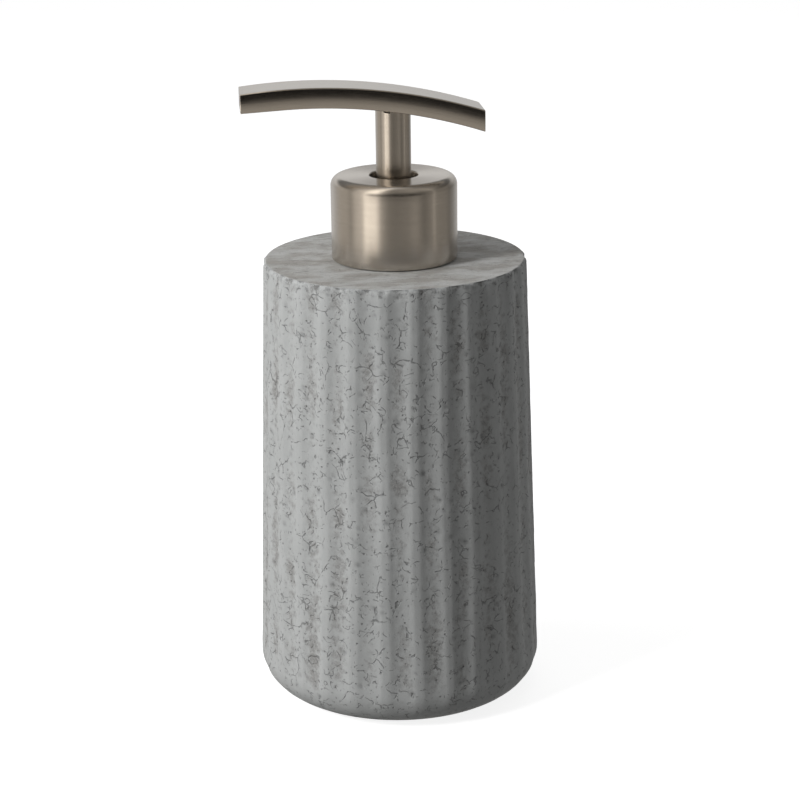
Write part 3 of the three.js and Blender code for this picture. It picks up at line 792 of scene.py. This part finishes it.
def bulge_sides(bm, width, low, high, bulge):
    """Splits the two upright sides and lets their middles stand out."""
    upright = [e for e in bm.edges if abs(e.verts[0].co.z - e.verts[1].co.z) > (high - low) * MM / 2]
    bmesh.ops.subdivide_edges(bm, edges=upright, cuts=9)
    for vert in bm.verts:
        share = (vert.co.z / MM - arc_z - low) / (high - low)
        if abs(vert.co.y) / MM > width / 2 - EDGE_BREAK - 1e-6:
            inwards = bulge * (4 * share * (1 - share) - 1) * MM
            vert.co.y += math.copysign(1, vert.co.y) * inwards


def bend_along(bm, steps=52):
    """Spins the section about the arc's centre, from beyond one end to beyond the other."""
    start = math.asin((bar_low.x / MM - SPOUT_OVERRUN - CROWN_X) / ARC_RADIUS)
    end = math.asin((bar_high.x / MM + TAIL_OVERRUN - CROWN_X) / ARC_RADIUS)
    centre = Vector((CROWN_X, 0, arc_z)) * MM
    bmesh.ops.rotate(bm, verts=bm.verts, cent=centre, matrix=Matrix.Rotation(start, 3, "Y"))
    bmesh.ops.spin(
        bm, geom=bm.verts[:] + bm.edges[:], axis=(0, 1, 0), cent=centre,
        angle=end - start, steps=steps, use_merge=False,
    )
    for x, outward in ((bar_low.x, -1), (bar_high.x, 1)):
        bmesh.ops.bisect_plane(
            bm, geom=bm.verts[:] + bm.edges[:] + bm.faces[:], dist=1e-7,
            plane_co=(x, 0, 0), plane_no=(outward, 0, 0), clear_outer=True,
        )


def flatten_spout(bm):
    """Past FLAT_END the underside runs straight, so the bar thins a little towards the spout."""
    slope = (FLAT_END - CROWN_X) / (under_height(FLAT_END) - arc_z)
    for vert in bm.verts:
        x = vert.co.x / MM
        if x < FLAT_END:
            radius = math.hypot(x - CROWN_X, vert.co.z / MM - arc_z)
            share = (ARC_RADIUS - radius) / BAR_THICKNESS
            straight = under_height(FLAT_END) - slope * (x - FLAT_END)
            vert.co.z += (straight - under_height(x)) * share * MM


shell = bar_section(BAR_WIDTH, under_radius, ARC_RADIUS, EDGE_BREAK, 3)
bulge_sides(shell, BAR_WIDTH, under_radius, ARC_RADIUS, SIDE_BULGE)
bore = bar_section(
    BAR_WIDTH - 2 * BAR_WALL, under_radius + BAR_WALL, ARC_RADIUS - BAR_WALL, BORE_ROUNDING, 2
)
for part in (shell, bore):
    bend_along(part)
    flatten_spout(part)
print("bar shell:", len(shell.faces), "bore:", len(bore.faces))


# %% [markdown]
# The outer skin and the bore are two open tubes. They are put in one mesh, the rings between their
# end loops are filled, and the ends' edges are broken with a small bevel.

# %% Join the bar
def poured(target, source):
    """Adds one bmesh to another."""
    carrier = bpy.data.meshes.new("carrier")
    source.to_mesh(carrier)
    source.free()
    target.from_mesh(carrier)
    bpy.data.meshes.remove(carrier)


poured(shell, bore)
for x in (bar_low.x, bar_high.x):
    loops = [
        e for e in shell.edges
        if e.is_boundary and all(abs(v.co.x - x) < 1e-6 for v in e.verts)
    ]
    bmesh.ops.triangle_fill(shell, use_beauty=True, edges=loops, normal=(1, 0, 0))
bmesh.ops.recalc_face_normals(shell, faces=shell.faces)
end_edges = [
    e for e in shell.edges
    if e.is_manifold and e.calc_face_angle(0) > 1.0
    and any(all(abs(v.co.x - x) < 1e-6 for v in e.verts) for x in (bar_low.x, bar_high.x))
]
break_edges(shell, end_edges, END_BREAK)


def along_the_arc(paint, at, fine=6.0, length=0.22):
    x, y, z = paint.apart(at)
    radius = (((x - CROWN_X) ** 2) + ((z - arc_z) ** 2)) ** 0.5
    return paint.together(x * length, y * fine, radius * fine)


bar_steel = brushed_steel("bar_steel", along_the_arc, 0.15, 0.0, 0.0, 0.18)
make_piece("lever_bar", shell, "head", "brushed_steel", bar_steel, "handle_bar", sharp_deg=12)


# %% [markdown]
# ## The stem
# The stem is a length of thin tube that ends in the bar. Its upper end is shaped to the bar's
# underside, and has one small vent notch at the front. After the tube is spun, the points of its
# upper end are lifted or lowered to the underside, and those inside the notch are lowered more.

# %% Stem
stem_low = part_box("stem_tube")[0]
STEM_RADIUS, STEM_WALL = 4.75, 0.6
VENT_WIDTH, VENT_HEIGHT, VENT_ANGLE = 1.9, 0.75, math.radians(-90 - 25)
stem_bottom = stem_low.z / MM
bm, corners = outline_of([
    (STEM_RADIUS - STEM_WALL, stem_bottom),
    (STEM_RADIUS, stem_bottom),
    (STEM_RADIUS, under_height(0)),
    (STEM_RADIUS - STEM_WALL, under_height(0)),
])
bm.edges.new((corners[-1], corners[0]))
round_corners(bm, [corners[1]], 0.15, 2)
split_edge(bm, nearest_edge(bm, STEM_RADIUS, stem_bottom + 9), 7)
spin_round(bm, 120)
for vert in bm.verts:
    x, y, z = vert.co / MM
    if z > under_height(0) - 0.01:
        away = math.remainder(math.atan2(y, x) - VENT_ANGLE, 2 * math.pi) * STEM_RADIUS
        notch = VENT_HEIGHT if abs(away) < VENT_WIDTH / 2 else 0
        vert.co.z = (under_height(x) - 0.02 - notch) * MM
make_piece("stem", bm, "head", "brushed_steel", stem_steel, "stem_tube")


# %% [markdown]
# ## End caps and nozzle
# The bar's ends are closed by small plates set flush in the tube, and the spout's plate has the
# outlet in it. The engineering model's plates have the right shape but knife-sharp edges. A copy
# of each is merged into one skin, its flat faces are joined up again, and its edges are broken.

# %% End caps
def refined(node, name):
    """Makes a copy of an engineering part with clean faces and broken edges."""
    bm = bmesh.new()
    bm.from_mesh(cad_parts[node].data)
    bmesh.ops.remove_doubles(bm, verts=bm.verts, dist=1e-6)
    bmesh.ops.dissolve_limit(bm, angle_limit=math.radians(1), verts=bm.verts, edges=bm.edges)
    sharp = [e for e in bm.edges if e.is_manifold and e.calc_face_angle(0) > math.radians(40)]
    break_edges(bm, sharp, END_BREAK, clamped=True)
    make_piece(name, bm, "head", "brushed_steel", bar_steel, node, sharp_deg=20)


refined("spout_end_cap", "spout_cap")
refined("rear_end_cap", "tail_cap")

# %% Nozzle
nozzle_low, nozzle_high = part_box("nozzle_insert")
nozzle_z = (nozzle_low.z + nozzle_high.z) / 2
nozzle_length = (nozzle_high.x - nozzle_low.x) / MM
NOZZLE_BORE, NOZZLE_RADIUS, NOZZLE_ROUNDING = 0.8, 1.25, 0.16
bm, corners = outline_of([
    (NOZZLE_BORE, 0),
    (NOZZLE_RADIUS, 0),
    (NOZZLE_RADIUS, nozzle_length),
    (NOZZLE_BORE, nozzle_length),
])
bm.edges.new((corners[-1], corners[0]))
round_corners(bm, [corners[2]], NOZZLE_ROUNDING, 3)
round_corners(bm, [corners[3]], NOZZLE_ROUNDING, 3)
spin_round(bm, 48)
bmesh.ops.rotate(bm, verts=bm.verts, cent=(0, 0, 0), matrix=Matrix.Rotation(-math.pi / 2, 3, "Y"))
bmesh.ops.translate(bm, verts=bm.verts, vec=(nozzle_high.x, 0, nozzle_z))
make_piece("nozzle_ring", bm, "head", "nozzle_plastic", FINISHES["nozzle_plastic"], "nozzle_insert")


# %% [markdown]
# ## The return spring
# The spring is drawn wire, wound with close turns at both ends so that it stands flat. Spin makes
# a helix when each step also lifts the section a little. Three spins in a row give the close
# turns, the open ones and the close ones again. When the pump is pressed the real spring flattens;
# here it keeps its rest length.

# %% Spring
spring_low, spring_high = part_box("return_spring")
WIRE_RADIUS, SPRING_TURNS, END_TURNS = 0.55, 7.5, 0.9
STEPS_TO_A_TURN = 36
wire_middle = spring_high.x / MM - WIRE_RADIUS
rise_left = (spring_high.z - spring_low.z) / MM - 2 * WIRE_RADIUS - 4 * WIRE_RADIUS
bm = bmesh.new()
bmesh.ops.create_circle(bm, cap_ends=False, segments=14, radius=WIRE_RADIUS * MM)
bmesh.ops.rotate(bm, verts=bm.verts, cent=(0, 0, 0), matrix=Matrix.Rotation(math.pi / 2, 3, "X"))
start_at = (wire_middle * MM, 0, spring_low.z + WIRE_RADIUS * MM)
bmesh.ops.translate(bm, verts=bm.verts, vec=start_at)
section = bm.verts[:] + bm.edges[:]
middle_turns = SPRING_TURNS - 2 * END_TURNS
close_turns = (END_TURNS, 2 * WIRE_RADIUS)
for turns, rise in (close_turns, (middle_turns, rise_left), close_turns):
    steps = round(turns * STEPS_TO_A_TURN)
    made = bmesh.ops.spin(
        bm, geom=section, axis=(0, 0, 1), cent=(0, 0, 0), dvec=(0, 0, rise * MM / steps),
        angle=turns * 2 * math.pi, steps=steps, use_merge=False,
    )
    section = made["geom_last"]
bmesh.ops.holes_fill(bm, edges=[e for e in bm.edges if e.is_boundary], sides=0)
bmesh.ops.recalc_face_normals(bm, faces=bm.faces)
spring = make_piece(
    "coil_spring", bm, "pump_engine", "spring_wire", FINISHES["spring_wire"], "return_spring"
)
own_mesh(spring)


# %% [markdown]
# ## The parts that stay as they are
# The parts inside have the right shape already. Each takes the finish of the slot that the record
# gives it.

# %% Finishes for the engineering parts
SLOT_OF = {
    "inner_bottle": "bottle_plastic",
    "foot_pad": "foot_rubber",
    "closure_cap": "dark_plastic",
    "pump_housing": "pump_plastic",
    "guide_cup": "dark_plastic",
    "ball_cage": "pump_plastic",
    "neck_gasket": "gasket",
    "dip_tube": "tube_plastic",
    "inlet_ball": "ball_steel",
    "outlet_ball": "ball_steel",
    "piston_rod": "pump_plastic",
    "piston_seal": "seal_plastic",
    "piston_retainer": "pump_plastic",
    "rod_socket": "pump_plastic",
    "soap_channel": "pump_plastic",
}
for node, slot in SLOT_OF.items():
    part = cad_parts[node]
    if not part.material_slots:
        part.data.materials.append(FINISHES[slot])
    for place in part.material_slots:
        place.link = "OBJECT"
        place.material = FINISHES[slot]
print(len(SLOT_OF), "engineering parts keep their shape")


# %% [markdown]
# ## Last: sizes
# The new pieces should keep the object's size, so how far each corner of its box has moved is
# printed.

# %% Finish
new_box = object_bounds()
for end, was, now in zip(("low", "high"), cad_box, new_box):
    print(end, "corner moved by mm:", [round(v / MM, 2) for v in now - was])
